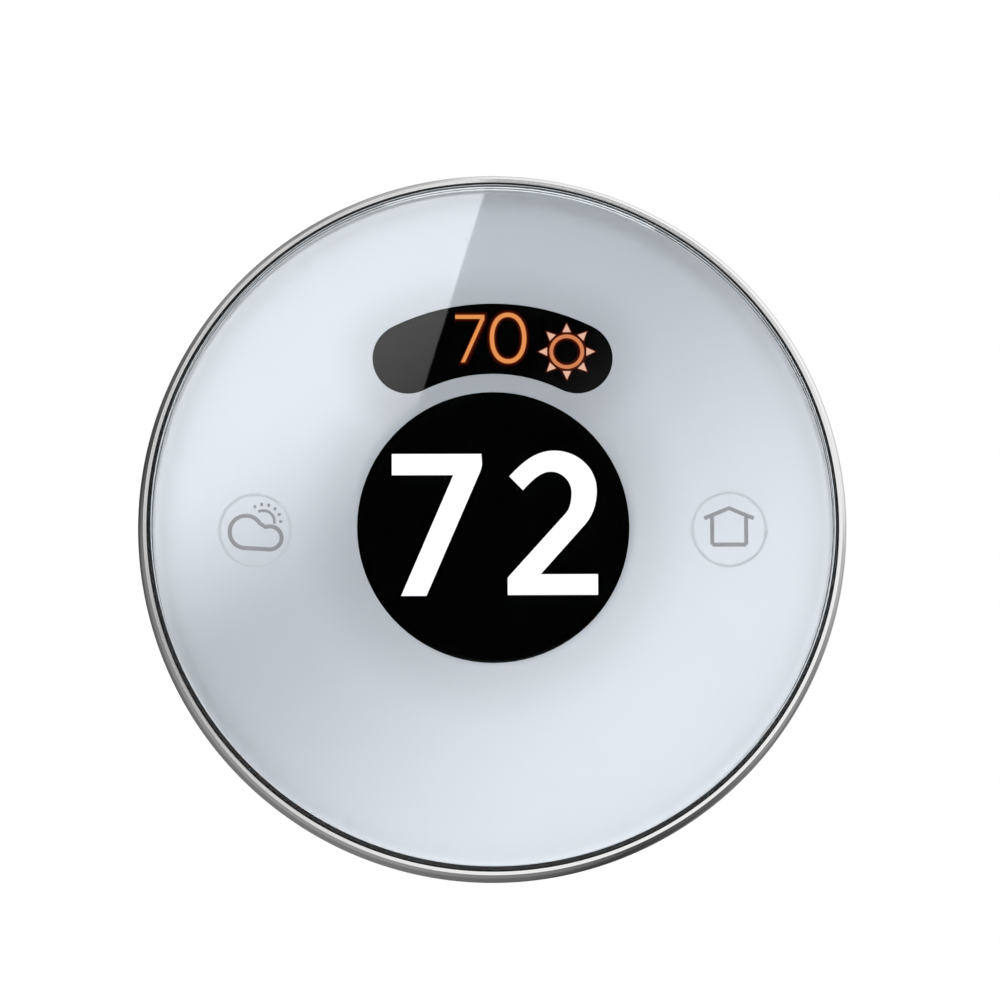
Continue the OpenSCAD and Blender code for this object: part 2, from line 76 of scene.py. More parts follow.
def add(tree, kind, **settings):
    node = tree.nodes.new(kind)
    for key, value in settings.items():
        setattr(node, key, value)
    return node


def feed(tree, node, **values):
    """Sets or links a node's inputs; a socket is linked, anything else is a value."""
    for label, value in values.items():
        socket = node.inputs[label.replace("_", " ")]
        if isinstance(value, bpy.types.NodeSocket):
            tree.links.new(value, socket)
        else:
            socket.default_value = value
    return node


def scalar(tree, operation, first, second=None, third=None):
    node = add(tree, "ShaderNodeMath", operation=operation)
    for socket, value in zip(node.inputs, (first, second, third)):
        if isinstance(value, bpy.types.NodeSocket):
            tree.links.new(value, socket)
        elif value is not None:
            socket.default_value = value
    return node.outputs[0]


def span(tree, first, second):
    """The distance across two sides at right angles."""
    squares = [scalar(tree, "MULTIPLY", side, side) for side in (first, second)]
    return scalar(tree, "SQRT", scalar(tree, "ADD", *squares))


def between(tree, value, low, high, at_low=0.0, at_high=1.0):
    """A smooth step from one level to another."""
    node = add(tree, "ShaderNodeMapRange", interpolation_type="SMOOTHSTEP")
    feed(tree, node, Value=value, From_Min=low, From_Max=high, To_Min=at_low, To_Max=at_high)
    return node.outputs["Result"]


def scaled(tree, vector, factor):
    node = add(tree, "ShaderNodeVectorMath", operation="SCALE")
    tree.links.new(vector, node.inputs[0])
    return feed(tree, node, Scale=factor).outputs[0]


def mixed(tree, factor, first, second, kind="RGBA"):
    node = add(tree, "ShaderNodeMix", data_type=kind)
    return feed(tree, node, Factor=factor, A=first, B=second).outputs["Result"]


def noise(tree, vector, scale, detail, roughness=0.5):
    node = add(tree, "ShaderNodeTexNoise")
    return feed(tree, node, Vector=vector, Scale=scale, Detail=detail, Roughness=roughness).outputs["Fac"]


def place_on_object(tree):
    return add(tree, "ShaderNodeTexCoord").outputs["Object"]


def parts_of(tree, vector):
    """The x, y and z of a vector."""
    node = add(tree, "ShaderNodeSeparateXYZ")
    tree.links.new(vector, node.inputs[0])
    return node.outputs[:]


def make_moulded_group():
    """Spark-eroded mould texture: a fine grain and a faint cloudiness of the colour."""
    group, entry, exit_ = node_group(
        "moulded_texture",
        [("Colour", "NodeSocketColor", (0.8, 0.8, 0.8, 1)), ("Grain", "NodeSocketFloat", 2200.0),
         ("Mottle", "NodeSocketFloat", 0.05), ("Roughness", "NodeSocketFloat", 0.5)],
        [("Colour", "NodeSocketColor"), ("Roughness", "NodeSocketFloat"), ("Height", "NodeSocketFloat")])
    place = place_on_object(group)
    grain = noise(group, place, entry.outputs["Grain"], 3.0, 0.6)
    cloud = noise(group, place, 60.0, 2.0)
    tint = scalar(group, "MULTIPLY_ADD", cloud, entry.outputs["Mottle"], 0.97)
    polish = scalar(group, "MULTIPLY_ADD", grain, 0.12, entry.outputs["Roughness"])
    feed(group, exit_, Colour=scaled(group, entry.outputs["Colour"], tint), Roughness=polish, Height=grain)
    return group


def make_turned_group():
    """Lathe lines round the y axis, for metal that was turned or brushed in a spin."""
    group, entry, exit_ = node_group(
        "turned_lines",
        [("Lines", "NodeSocketFloat", 9000.0), ("Roughness", "NodeSocketFloat", 0.2),
         ("Spread", "NodeSocketFloat", 0.1)],
        [("Roughness", "NodeSocketFloat"), ("Height", "NodeSocketFloat")])
    x, y, z = parts_of(group, place_on_object(group))
    section = feed(group, add(group, "ShaderNodeCombineXYZ"), X=span(group, x, z), Y=y)
    lines = noise(group, section.outputs[0], entry.outputs["Lines"], 2.0)
    polish = scalar(group, "MULTIPLY_ADD", lines, entry.outputs["Spread"], entry.outputs["Roughness"])
    feed(group, exit_, Roughness=polish, Height=lines)
    return group


MOULDED = make_moulded_group()
TURNED = make_turned_group()


def new_material(name):
    material = bpy.data.materials.new(name)
    material.use_nodes = True
    tree = material.node_tree
    return material, tree, tree.nodes["Principled BSDF"]


def bump(tree, shader, height, distance, strength=1.0):
    node = feed(tree, add(tree, "ShaderNodeBump"), Strength=strength, Distance=distance, Height=height)
    tree.links.new(node.outputs["Normal"], shader.inputs["Normal"])


def mould(tree, shader, colour, roughness, grain, mottle):
    """Gives a shader the mould texture, and hands back its height."""
    texture = feed(tree, add(tree, "ShaderNodeGroup", node_tree=MOULDED),
                   Colour=(*colour, 1), Grain=grain, Mottle=mottle, Roughness=roughness)
    feed(tree, shader, Base_Color=texture.outputs["Colour"], Roughness=texture.outputs["Roughness"])
    return texture.outputs["Height"]


def moulded_plastic(name, colour, roughness=0.45, grain=2200.0, mottle=0.05, depth=0.00002, coat=0.0):
    material, tree, shader = new_material(name)
    bump(tree, shader, mould(tree, shader, colour, roughness, grain, mottle), depth)
    feed(tree, shader, Coat_Weight=coat)
    return material


def turned_metal(name, colour, roughness=0.15, spread=0.1, lines=9000.0, depth=0.000003):
    material, tree, shader = new_material(name)
    texture = feed(tree, add(tree, "ShaderNodeGroup", node_tree=TURNED),
                   Lines=lines, Roughness=roughness, Spread=spread)
    feed(tree, shader, Base_Color=(*colour, 1), Metallic=1.0, Roughness=texture.outputs["Roughness"])
    bump(tree, shader, texture.outputs["Height"], depth, 0.25)
    return material


def plated_metal(name, colour, roughness=0.3, grain=900.0):
    material, tree, shader = new_material(name)
    mould(tree, shader, colour, roughness, grain, 0.08)
    feed(tree, shader, Metallic=1.0)
    return material


def lit(name, colour, strength):
    """A part of the display that shines."""
    material, tree, shader = new_material(name)
    feed(tree, shader, Base_Color=(0, 0, 0, 1), Roughness=0.6, Specular_IOR_Level=0.0,
         Emission_Color=(*colour, 1), Emission_Strength=strength)
    return material


def clear_plastic(name, colour, ior, roughness=0.0):
    material, tree, shader = new_material(name)
    feed(tree, shader, Base_Color=(*colour, 1), Roughness=roughness, IOR=ior, Transmission_Weight=1.0)
    return material


def make_window_shade_group():
    """Painted shade that darkens the print towards its two windows, and a painted highlight that lightens it at
    the rim.
    """
    group, entry, exit_ = node_group("painted_shade_and_rim_highlight", [], [("Shade", "NodeSocketFloat")])
    x, y, height = parts_of(group, place_on_object(group))
    z = scalar(group, "SUBTRACT", height, FACE_DROP * MM)
    side = scalar(group, "ABSOLUTE", x)
    radius = span(group, x, z)
    turn = math.radians(ARCH_HALF_ANGLE)
    to_end = span(group, scalar(group, "SUBTRACT", side, ARCH_RADIUS * MM * math.sin(turn)),
                  scalar(group, "SUBTRACT", z, ARCH_RADIUS * MM * math.cos(turn)))
    to_arc = scalar(group, "ABSOLUTE", scalar(group, "SUBTRACT", radius, ARCH_RADIUS * MM))
    beyond = scalar(group, "GREATER_THAN", scalar(group, "ARCTAN2", side, z), turn)
    away = mixed(group, beyond, to_arc, to_end, "FLOAT")
    # painted shade: the print darkens towards the arch window and round the display
    arch = between(group, away, ARCH_WIDTH / 2 * MM, (ARCH_WIDTH / 2 + 6) * MM, PAINTED_SHADE_AT_WINDOWS, 1.0)
    disc = between(group, radius, DISPLAY_RADIUS * MM, (DISPLAY_RADIUS + 9) * MM, PAINTED_SHADE_AT_WINDOWS, 1.0)
    # painted highlight: the print lightens in a band just inside the rim
    rim = between(group, radius, (LENS_RADIUS - 1.6) * MM, (LENS_RADIUS - 0.3) * MM, 1.0, PAINTED_RIM_HIGHLIGHT)
    windows = scalar(group, "MULTIPLY", arch, disc)
    feed(group, exit_, Shade=scalar(group, "MULTIPLY", windows, rim))
    return group


FACE_DROP = -0.35
ARCH_RADIUS, ARCH_WIDTH, ARCH_HALF_ANGLE, DISPLAY_RADIUS = 23.75, 8.94, 26.5, 17.0
# levels of the painted shade at the windows and of the painted highlight at the rim
PAINTED_SHADE_AT_WINDOWS, PAINTED_RIM_HIGHLIGHT = 0.86, 1.12
PAINTED_SHADE_AND_HIGHLIGHT = make_window_shade_group()


def silver_print(name):
    """Pale silver ink behind the lens: part mirror, part white, with a trace of flake."""
    material, tree, shader = new_material(name)
    flake = noise(tree, place_on_object(tree), 5000.0, 1.0)
    ink = mixed(tree, flake, (0.82, 0.87, 0.92, 1), (0.85, 0.90, 0.95, 1))
    # the ink colour carries painted shade near the windows and a painted highlight at the rim
    shade = add(tree, "ShaderNodeGroup", node_tree=PAINTED_SHADE_AND_HIGHLIGHT).outputs["Shade"]
    feed(tree, shader, Base_Color=scaled(tree, ink, shade), Metallic=0.26, Roughness=0.012,
         Specular_IOR_Level=0.0)
    return material


def upright_grid(tree, offset, scale, first, second, gap):
    """Rows of small oblongs on a plane that faces along y."""
    stand = add(tree, "ShaderNodeMapping")
    feed(tree, stand, Vector=place_on_object(tree), Rotation=(math.radians(90), 0, 0))
    return feed(tree, add(tree, "ShaderNodeTexBrick", offset=offset), Vector=stand.outputs[0], Scale=scale,
                Color1=(*first, 1), Color2=(*second, 1), Mortar=(*gap, 1))


def circuit_board(name):
    """Green solder mask over copper tracks."""
    material, tree, shader = new_material(name)
    tracks = upright_grid(tree, 0.37, 150.0, (0.004, 0.055, 0.022), (0.006, 0.075, 0.03), (0.03, 0.19, 0.07))
    feed(tree, shader, Base_Color=tracks.outputs["Color"], Roughness=0.3)
    bump(tree, shader, tracks.outputs["Fac"], 0.00002)
    return material


def battery_sleeve(name):
    """A black shrink sleeve with a copper-coloured band at the positive end."""
    material, tree, shader = new_material(name)
    low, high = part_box("battery")
    along = feed(tree, add(tree, "ShaderNodeMapRange"), Value=parts_of(tree, place_on_object(tree))[0],
                 From_Min=low.x, From_Max=high.x)
    band = add(tree, "ShaderNodeValToRGB")
    ramp = band.color_ramp
    ramp.interpolation = "CONSTANT"
    cap, black, copper = (0.42, 0.42, 0.43, 1), (0.012, 0.013, 0.015, 1), (0.55, 0.24, 0.09, 1)
    ramp.elements[0].position, ramp.elements[0].color = 0.0, cap
    ramp.elements[1].position, ramp.elements[1].color = 0.93, cap
    ramp.elements.new(0.035).color = black
    ramp.elements.new(0.70).color = copper
    tree.links.new(along.outputs["Result"], band.inputs["Fac"])
    feed(tree, shader, Base_Color=band.outputs["Color"], Roughness=0.28, Metallic=0.3)
    return material


def display_cell(name):
    """The dark polariser of the display, with the faint grid of its cells."""
    material, tree, shader = new_material(name)
    cells = upright_grid(tree, 0.0, 2000.0, (0.0010, 0.0010, 0.0012), (0.0013, 0.0013, 0.0015),
                         (0.0004, 0.0004, 0.0004))
    feed(tree, shader, Base_Color=cells.outputs["Color"], Roughness=0.1, Specular_IOR_Level=0.0)
    return material


FINISHES = {
    "white_shell": moulded_plastic("white_shell", (0.74, 0.74, 0.72), 0.42),
    "plate_white": moulded_plastic("plate_white", (0.68, 0.69, 0.68), 0.5, grain=1600.0, depth=0.00003),
    "terminal_grey": moulded_plastic("terminal_grey", (0.42, 0.43, 0.44), 0.45),
    "tab_orange": moulded_plastic("tab_orange", (0.78, 0.25, 0.04), 0.4),
    "clamp_brass": plated_metal("clamp_brass", (0.78, 0.55, 0.22), 0.25),
    "level_clear": clear_plastic("level_clear", (0.95, 1.0, 0.97), 1.47, 0.02),
    "level_green": clear_plastic("level_green", (0.62, 0.85, 0.12), 1.36, 0.0),
    "cap_black": moulded_plastic("cap_black", (0.02, 0.02, 0.022), 0.4),
    "frame_dark": moulded_plastic("frame_dark", (0.03, 0.03, 0.034), 0.5),
    "guide_opal": moulded_plastic("guide_opal", (0.84, 0.85, 0.84), 0.25, mottle=0.02, coat=0.3),
    "bearing_ivory": moulded_plastic("bearing_ivory", (0.74, 0.70, 0.60), 0.35),
    "board_green": circuit_board("board_green"),
    "led_yellow": moulded_plastic("led_yellow", (0.85, 0.75, 0.30), 0.2, coat=0.5),
    "relay_white": moulded_plastic("relay_white", (0.78, 0.78, 0.75), 0.4),
    "chip_black": moulded_plastic("chip_black", (0.018, 0.018, 0.02), 0.35),
    "can_steel": plated_metal("can_steel", (0.66, 0.66, 0.66), 0.28),
    "contact_nickel": plated_metal("contact_nickel", (0.68, 0.66, 0.62), 0.22),
    "pin_gold": plated_metal("pin_gold", (0.90, 0.66, 0.28), 0.2),
    "sleeve_blue": moulded_plastic("sleeve_blue", (0.015, 0.03, 0.12), 0.25, coat=0.4),
    "battery_sleeve": battery_sleeve("battery_sleeve"),
    "lcd_black": display_cell("lcd_black"),
    "backlight_white": moulded_plastic("backlight_white", (0.8, 0.8, 0.8), 0.4),
    "flex_amber": moulded_plastic("flex_amber", (0.50, 0.20, 0.03), 0.2, coat=0.5),
    "mask_silver": silver_print("mask_silver"),
    "tape_black": moulded_plastic("tape_black", (0.012, 0.012, 0.012), 0.7),
    "lens_clear": clear_plastic("lens_clear", (0.985, 0.992, 1.0), 1.45),
    "screw_steel": plated_metal("screw_steel", (0.52, 0.52, 0.54), 0.25),
    "ring_metal": turned_metal("ring_metal", (0.86, 0.865, 0.87), 0.02, 0.05),
    "magnet_black": moulded_plastic("magnet_black", (0.02, 0.02, 0.02), 0.6),
}

for node, piece in frame["nodes"].items():
    piece.data.materials.clear()
    piece.data.materials.append(FINISHES[SLOT_OF[node]])


# ---------------------------------------------------------------- making pieces

def finish_piece(bm, name, material, body, standing_for=(), smooth=True):
    """Turns a bmesh drawn with x, y and the distance out of the wall into a placed piece."""
    stand_up = Matrix(((1, 0, 0, 0), (0, 0, -1, 0), (0, 1, 0, 0), (0, 0, 0, 1)))
    bmesh.ops.scale(bm, vec=(MM, MM, MM), verts=bm.verts)
    bmesh.ops.transform(bm, matrix=stand_up, verts=bm.verts)
    bmesh.ops.remove_doubles(bm, verts=bm.verts, dist=1e-7)
    bmesh.ops.recalc_face_normals(bm, faces=bm.faces)
    if smooth:
        for face in bm.faces:
            face.smooth = abs(face.normal.y) < 0.9999
        for edge in bm.edges:
            if len(edge.link_faces) == 2 and (edge.calc_face_angle() > math.radians(28)
                                              or not all(face.smooth for face in edge.link_faces)):
                edge.smooth = False
    mesh = bpy.data.meshes.new(name)
    bm.to_mesh(mesh)
    bm.free()
    mesh.materials.append(material)
    piece = bpy.data.objects.new(name, mesh)
    bpy.context.scene.collection.objects.link(piece)
    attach(piece, body)
    if standing_for:
        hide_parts(*standing_for)
    return piece


def turned(profile, steps=256):
    """Spins a closed section, given as (radius, distance out), round the middle of the face."""
    bm = bmesh.new()
    corners = [bm.verts.new((r, 0, out)) for r, out in profile]
    for a, b in zip(corners, corners[1:] + corners[:1]):
        bm.edges.new((a, b))
    bmesh.ops.spin(bm, geom=bm.verts[:] + bm.edges[:], cent=(0, 0, 0), axis=(0, 0, 1), dvec=(0, 0, 0),
                   angle=math.tau, steps=steps, use_merge=True)
    bmesh.ops.remove_doubles(bm, verts=bm.verts, dist=1e-5)
    return bm


def swell(start, end, bulge, steps):
    """Points of a quarter ellipse between two section corners; bulge is the corner it leans towards."""
    return [(bulge[0] + (start[0] - bulge[0]) * (1 - math.sin(t)) + (end[0] - bulge[0]) * (1 - math.cos(t)),
             bulge[1] + (start[1] - bulge[1]) * (1 - math.sin(t)) + (end[1] - bulge[1]) * (1 - math.cos(t)))
            for t in (math.pi / 2 * i / steps for i in range(steps + 1))]


def curve_to_bmesh(curve):
    """Makes a curve a mesh, and gives it back as a bmesh."""
    holder = bpy.data.objects.new(curve.name, curve)
    bpy.context.scene.collection.objects.link(holder)
    bpy.context.view_layer.update()
    mesh = bpy.data.meshes.new_from_object(holder)
    bm = bmesh.new()
    bm.from_mesh(mesh)
    bpy.data.objects.remove(holder)
    bpy.data.curves.remove(curve)
    bpy.data.meshes.remove(mesh)
    return bm


def cut_sheet(contours, centre, bottom, thickness):
    """A flat shape cut from sheet.

    A knot is (x, y) at a corner, or (x, y, heading, before, after) on a curve: the way it runs, in degrees, and
    how far its handles reach back and on.
    """
    curve = bpy.data.curves.new("sheet", "CURVE")
    curve.dimensions, curve.fill_mode, curve.resolution_u = "2D", "BOTH", 16
    curve.extrude = thickness / 2
    for contour in contours:
        spline = curve.splines.new("BEZIER")
        spline.bezier_points.add(len(contour) - 1)
        spline.use_cyclic_u = True
        for knot, point in zip(contour, spline.bezier_points):
            x, y = knot[:2]
            heading, before, after = knot[2:] if len(knot) > 2 else (0, 0, 0)
            way = Vector((math.cos(math.radians(heading)), math.sin(math.radians(heading)), 0))
            point.handle_left_type = point.handle_right_type = "FREE"
            point.co = (x, y, 0)
            point.handle_left = point.co - way * before
            point.handle_right = point.co + way * after
            if before == 0:
                point.handle_left_type = "VECTOR"
            if after == 0:
                point.handle_right_type = "VECTOR"
    bm = curve_to_bmesh(curve)
    bmesh.ops.translate(bm, vec=(centre[0], centre[1], bottom + thickness / 2), verts=bm.verts)
    return bm


def line_work(paths, width, centre, bottom, thickness):
    """Thin printed lines of one width, each path a list of points, with round ends."""
    whole = bmesh.new()
    for path, closed in paths:
        curve = bpy.data.curves.new("line", "CURVE")
        curve.dimensions, curve.bevel_depth, curve.bevel_resolution = "3D", width / 2, 3
        curve.use_fill_caps = True
        spline = curve.splines.new("POLY")
        spline.points.add(len(path) - 1)
        spline.use_cyclic_u = closed
        for (x, y), point in zip(path, spline.points):
            point.co = (x, y, 0, 1)
        part = curve_to_bmesh(curve)
        bmesh.ops.scale(part, vec=(1, 1, thickness / width), verts=part.verts)
        bmesh.ops.translate(part, vec=(centre[0], centre[1], bottom + thickness / 2), verts=part.verts)
        mesh = bpy.data.meshes.new("line")
        part.to_mesh(mesh)
        part.free()
        whole.from_mesh(mesh)
        bpy.data.meshes.remove(mesh)
    return whole


def polar(centre, radius, degrees):
    return (centre[0] + radius * math.cos(math.radians(degrees)),
            centre[1] + radius * math.sin(math.radians(degrees)))


def arc(centre, radius, start, end, steps):
    return [polar(centre, radius, start + (end - start) * i / steps) for i in range(steps + 1)]


# ---------------------------------------------------------------- control ring and lens

RING_BORE, RING_LIP, RING_WIDEST = 41.5, 43.0, 22.5
GROOVE_DEPTH, GROOVE_REAR, GROOVE_FRONT = 0.95, 14, 16.4
# LENS_PAINT: how far from the lens back the dark edge starts, painted shade for the gap round the lens
LENS_ROUNDING, LENS_PAINT = 0.14, 1.6


def second_finish(piece, material, wanted):
    """Gives another finish to the faces whose radius and distance out, in mm, are wanted."""
    piece.data.materials.append(material)
    for face in piece.data.polygons:
        if wanted(math.hypot(face.center.x, face.center.z) / MM, -face.center.y / MM):
            face.material_index = 1


def make_control_ring():
    """A barrel that swells to its widest, with a narrow flat crest round the lens, and its inside painted near
    black as painted shade for the gap round the lens.
    """
    widest = (RING_RADIUS, RING_WIDEST)
    side = swell((42.95, RING_REAR + 0.5), widest, (RING_RADIUS, RING_REAR + 4.5), 22)
    front = swell(widest, (RING_RADIUS - 0.86, RING_CREST - 0.04), (RING_RADIUS, RING_CREST - 0.04), 18)
    crest = [(RING_RADIUS - 0.92, RING_CREST), (RING_LIP + 0.16, RING_CREST),
             (RING_LIP + 0.05, RING_CREST - 0.05), (RING_LIP, RING_CREST - 0.16)]
    shoulder = [(RING_LIP, PRINT_TOP - 0.4), (RING_BORE, PRINT_TOP - 0.4)]
    groove = [(RING_BORE, GROOVE_FRONT), (RING_BORE + GROOVE_DEPTH, GROOVE_FRONT),
              (RING_BORE + GROOVE_DEPTH, GROOVE_REAR), (RING_BORE, GROOVE_REAR)]
    rear = [(RING_BORE, RING_REAR), (42.5, RING_REAR)]
    ring = finish_piece(turned(rear + side + front[1:] + crest + shoulder + groove), "turned_ring",
                        FINISHES["ring_metal"], "control_ring", ["control_ring"])
    # painted shade: the bore, lip wall and shoulder take a near-black finish so the gap round the lens reads
    # dark
    second_finish(ring, GAP_PAINTED_SHADE, lambda radius, out: radius < RING_LIP + 0.02)


def make_lens():
    """A clear disc with a small rounding in front, and its edge painted dark but for a strip at the back; the
    dark edge is painted shade for the shadowed gap seen through the lens.
    """
    paint_from = LENS_BACK + LENS_PAINT
    back = [(0, LENS_BACK + 0.04), (LENS_RADIUS, LENS_BACK + 0.04), (LENS_RADIUS, paint_from)]
    rounding = swell((LENS_RADIUS, LENS_FRONT - LENS_ROUNDING), (LENS_RADIUS - LENS_ROUNDING, LENS_FRONT),
                     (LENS_RADIUS, LENS_FRONT), 6)
    lens = finish_piece(turned(back + rounding + [(0, LENS_FRONT)]), "polished_lens", FINISHES["lens_clear"],
                        "display_unit", ["front_lens"])
    # painted shade: the lens side wall takes a near-black finish, seen through the lens as the dark gap
    second_finish(lens, DARK_EDGE_PAINTED_SHADE, lambda radius, out: radius > LENS_RADIUS - 0.02
                  and paint_from < out < LENS_FRONT - 0.2)


# near-black finish for the inside of the ring, painted shade in the gap round the lens
GAP_PAINTED_SHADE = moulded_plastic("ring_gap_painted_shade", (0.07, 0.07, 0.072), 0.5)
# near-black finish for the lens side wall, painted shade for the gap round the lens
DARK_EDGE_PAINTED_SHADE = moulded_plastic("lens_rim_painted_shade", (0.03, 0.03, 0.032), 0.5, depth=0.0)
make_control_ring()
make_lens()


# ---------------------------------------------------------------- what the display shows

SCREEN_WHITE = lit("screen_white", (1.0, 1.0, 1.0), 1.15)
SCREEN_AMBER = lit("screen_amber", (1.0, 0.37, 0.11), 0.85)
SCREEN_SUN = lit("screen_sun", (1.0, 0.34, 0.14), 0.72)
SCREEN_BLUSH = lit("screen_blush", (1.0, 0.58, 0.42), 0.85)
SCREEN_GLOW = lit("screen_glow", (1.0, 0.12, 0.03), 0.085)
SCREEN_FAINT = lit("screen_faint", (1.0, 0.10, 0.04), 0.02)
INK_GREY = moulded_plastic("ink_grey", (0.31, 0.32, 0.335), 0.5, depth=0.0)
INK_PALE = moulded_plastic("ink_pale", (0.63, 0.67, 0.70), 0.4, depth=0.0)

SHOWN = (0, FACE_DROP)
SHOWN_LAYER, SHOWN_STEP, SHOWN_THICK = SCREEN_TOP + 0.026, 0.009, 0.006
large_seven = [[(-12.66, 9.22), (-1.46, 9.22), (-1.38, 7.9, -97, 0, 0.5), (-1.78, 6.6, -113, 0.5, 0),
                (-8.36, -8.58), (-11.52, -8.58), (-4.98, 6.55), (-12.66, 6.55)]]
large_two = [[(2.02, 6.38, 47, 0, 1.9), (7.65, 9.62, 0, 2.55, 2.95), (12.95, 4.68, -90, 2.7, 1.6),
              (11.26, 0.10, -133, 1.9, 0), (5.88, -5.90), (13.03, -5.90), (13.03, -8.5), (1.76, -8.5),
              (1.76, -6.33), (9.05, 1.72, 47, 0, 0.8), (9.80, 4.35, 90, 1.0, 1.45),
              (7.2, 6.97, 180, 1.4, 1.5), (3.72, 4.64, -135, 0.9, 0)]]
for digit, shape in (("7", large_seven), ("2", large_two)):
    finish_piece(cut_sheet(shape, SHOWN, SCREEN_TOP + 0.01, 0.03), "room_temperature_" + digit, SCREEN_WHITE,
                 "display_unit", smooth=False)


SUN_MIDDLE, NOUGHT_MIDDLE, ROUND = (9.31, 22.13), (1.95, 23.86), 0.5523


def ring_contour(middle, rx, ry, roundness=ROUND):
    """An oval of four knots; a roundness above that of a circle makes it squarer."""
    x, y = middle
    return [(x + rx, y, 90, ry * roundness, ry * roundness), (x, y + ry, 180, rx * roundness, rx * roundness),
            (x - rx, y, -90, ry * roundness, ry * roundness), (x, y - ry, 0, rx * roundness, rx * roundness)]


def small_seven(stroke):
    h = stroke / 2
    return [[(-4.68, 26.55 + h), (-1.26 + h, 26.55 + h), (-1.26 + h, 26.5 - h), (-3.72 + h, 21.05 - h),
             (-3.72 - h, 21.05 - h), (-1.26 - h, 26.55 - h), (-4.68, 26.55 - h)]]


def small_nought(stroke):
    return [ring_contour(NOUGHT_MIDDLE, 2.03 + h, 2.95 + h, 0.6) for h in (stroke / 2, -stroke / 2)]


def sun_disc(stroke):
    return [ring_contour(SUN_MIDDLE, 1.95 + h, 1.95 + h) for h in (stroke / 2, -stroke / 2)]


def sun_rays(grow):
    rays = []
    for k in range(8):
        turn = Matrix.Rotation(math.radians(45 * k), 2)
        corners = ((2.47 - grow * 0.5, -0.52 - grow), (3.55 + grow, 0), (2.47 - grow * 0.5, 0.52 + grow))
        rays.append([tuple(turn @ Vector(corner) + Vector(SUN_MIDDLE)) for corner in corners])
    return rays


for name, shape, stroke, material in (("set_temperature_7", small_seven, 0.50, SCREEN_AMBER),
                                      ("set_temperature_0", small_nought, 0.55, SCREEN_AMBER),
                                      ("sun_disc", sun_disc, 0.46, SCREEN_SUN),
                                      ("sun_rays", sun_rays, 0.0, SCREEN_BLUSH)):
    for level, (more, layer, glow) in enumerate(((0.0, "", material), (0.34, "_glow", SCREEN_GLOW),
                                                 (0.75, "_faint_glow", SCREEN_FAINT))):
        extra = more / 2 if shape is sun_rays else more
        sheet = cut_sheet(shape(stroke + extra), SHOWN, SHOWN_LAYER - level * SHOWN_STEP, SHOWN_THICK)
        finish_piece(sheet, name + layer, glow, "display_unit", smooth=False)


# ---------------------------------------------------------------- touch icons printed on the face

ICON_Y = FACE_DROP - 0.32
WEATHER_ICON, HOME_ICON = (-29.65, ICON_Y), (29.45, ICON_Y)
INK_AT, INK_THICK = PRINT_TOP + 0.003, 0.02
EAVES, CORNER, FLOOR = 1.35, 2.12, -1.95

small_sun = (1.0, 1.06)
cloud = arc((-1.17, -0.23), 2.03, 262, 32, 30) + arc((1.81, -0.99), 1.45, 112, -90, 24)
sun_lines = [(arc(small_sun, 1.37, 118, -12, 16), False)]
sun_lines += [([polar(small_sun, reach, turn) for reach in (1.95, 2.35)], False)
              for turn in (120, 96, 72, 48, 24, 0)]
house = [([(-3.1, EAVES), (0, 2.62), (3.1, EAVES)], False), ([(-CORNER, 1.5), (-CORNER, FLOOR)], False),
         ([(CORNER, 1.5), (CORNER, FLOOR)], False), ([(-CORNER, FLOOR), (CORNER, FLOOR)], False)]


def print_icon(name, paths, width, centre, ink):
    finish_piece(line_work(paths, width, centre, INK_AT, INK_THICK), name, ink, "display_unit")


for name, centre, radius in (("weather", WEATHER_ICON, 4.45), ("home", HOME_ICON, 4.6)):
    print_icon(name + "_icon_circle", [(arc((0, 0), radius, 0, 357, 90), True)], 0.40, centre, INK_PALE)
print_icon("weather_icon_cloud", [(cloud, True)], 0.52, WEATHER_ICON, INK_GREY)
print_icon("weather_icon_sun", sun_lines, 0.34, WEATHER_ICON, INK_GREY)
print_icon("home_icon_house", house, 0.52, HOME_ICON, INK_GREY)


# ---------------------------------------------------------------- camera

CAMERA_DISTANCE = 0.4725
azimuth, elevation, roll = math.radians(-1.2), math.radians(-5.8), math.radians(-0.25)
middle = Vector((0, -22.5 * MM, 0))
back = Vector((math.sin(azimuth) * math.cos(elevation), -math.cos(azimuth) * math.cos(elevation),
               math.sin(elevation)))
camera = bpy.data.objects.new("camera", bpy.data.cameras.new("camera"))
camera.data.lens = 135
camera.data.sensor_width = 36
camera.data.clip_start = 0.05
camera.location = middle + back * CAMERA_DISTANCE
aim = middle + Vector((0.95 * MM, 0, 3.55 * MM)) - camera.location
camera.rotation_mode = "QUATERNION"
camera.rotation_quaternion = aim.to_track_quat("-Z", "Y") @ Quaternion((0, 0, 1), roll)
bpy.context.scene.collection.objects.link(camera)
bpy.context.scene.camera = camera

# ---------------------------------------------------------------- studio

def stage_plane(name, size, location, rotation, material):
    bpy.ops.mesh.primitive_plane_add(size=size, location=location, rotation=rotation)
    plane = bpy.context.object
    plane.name = name
    plane.data.materials.append(material)
    return plane


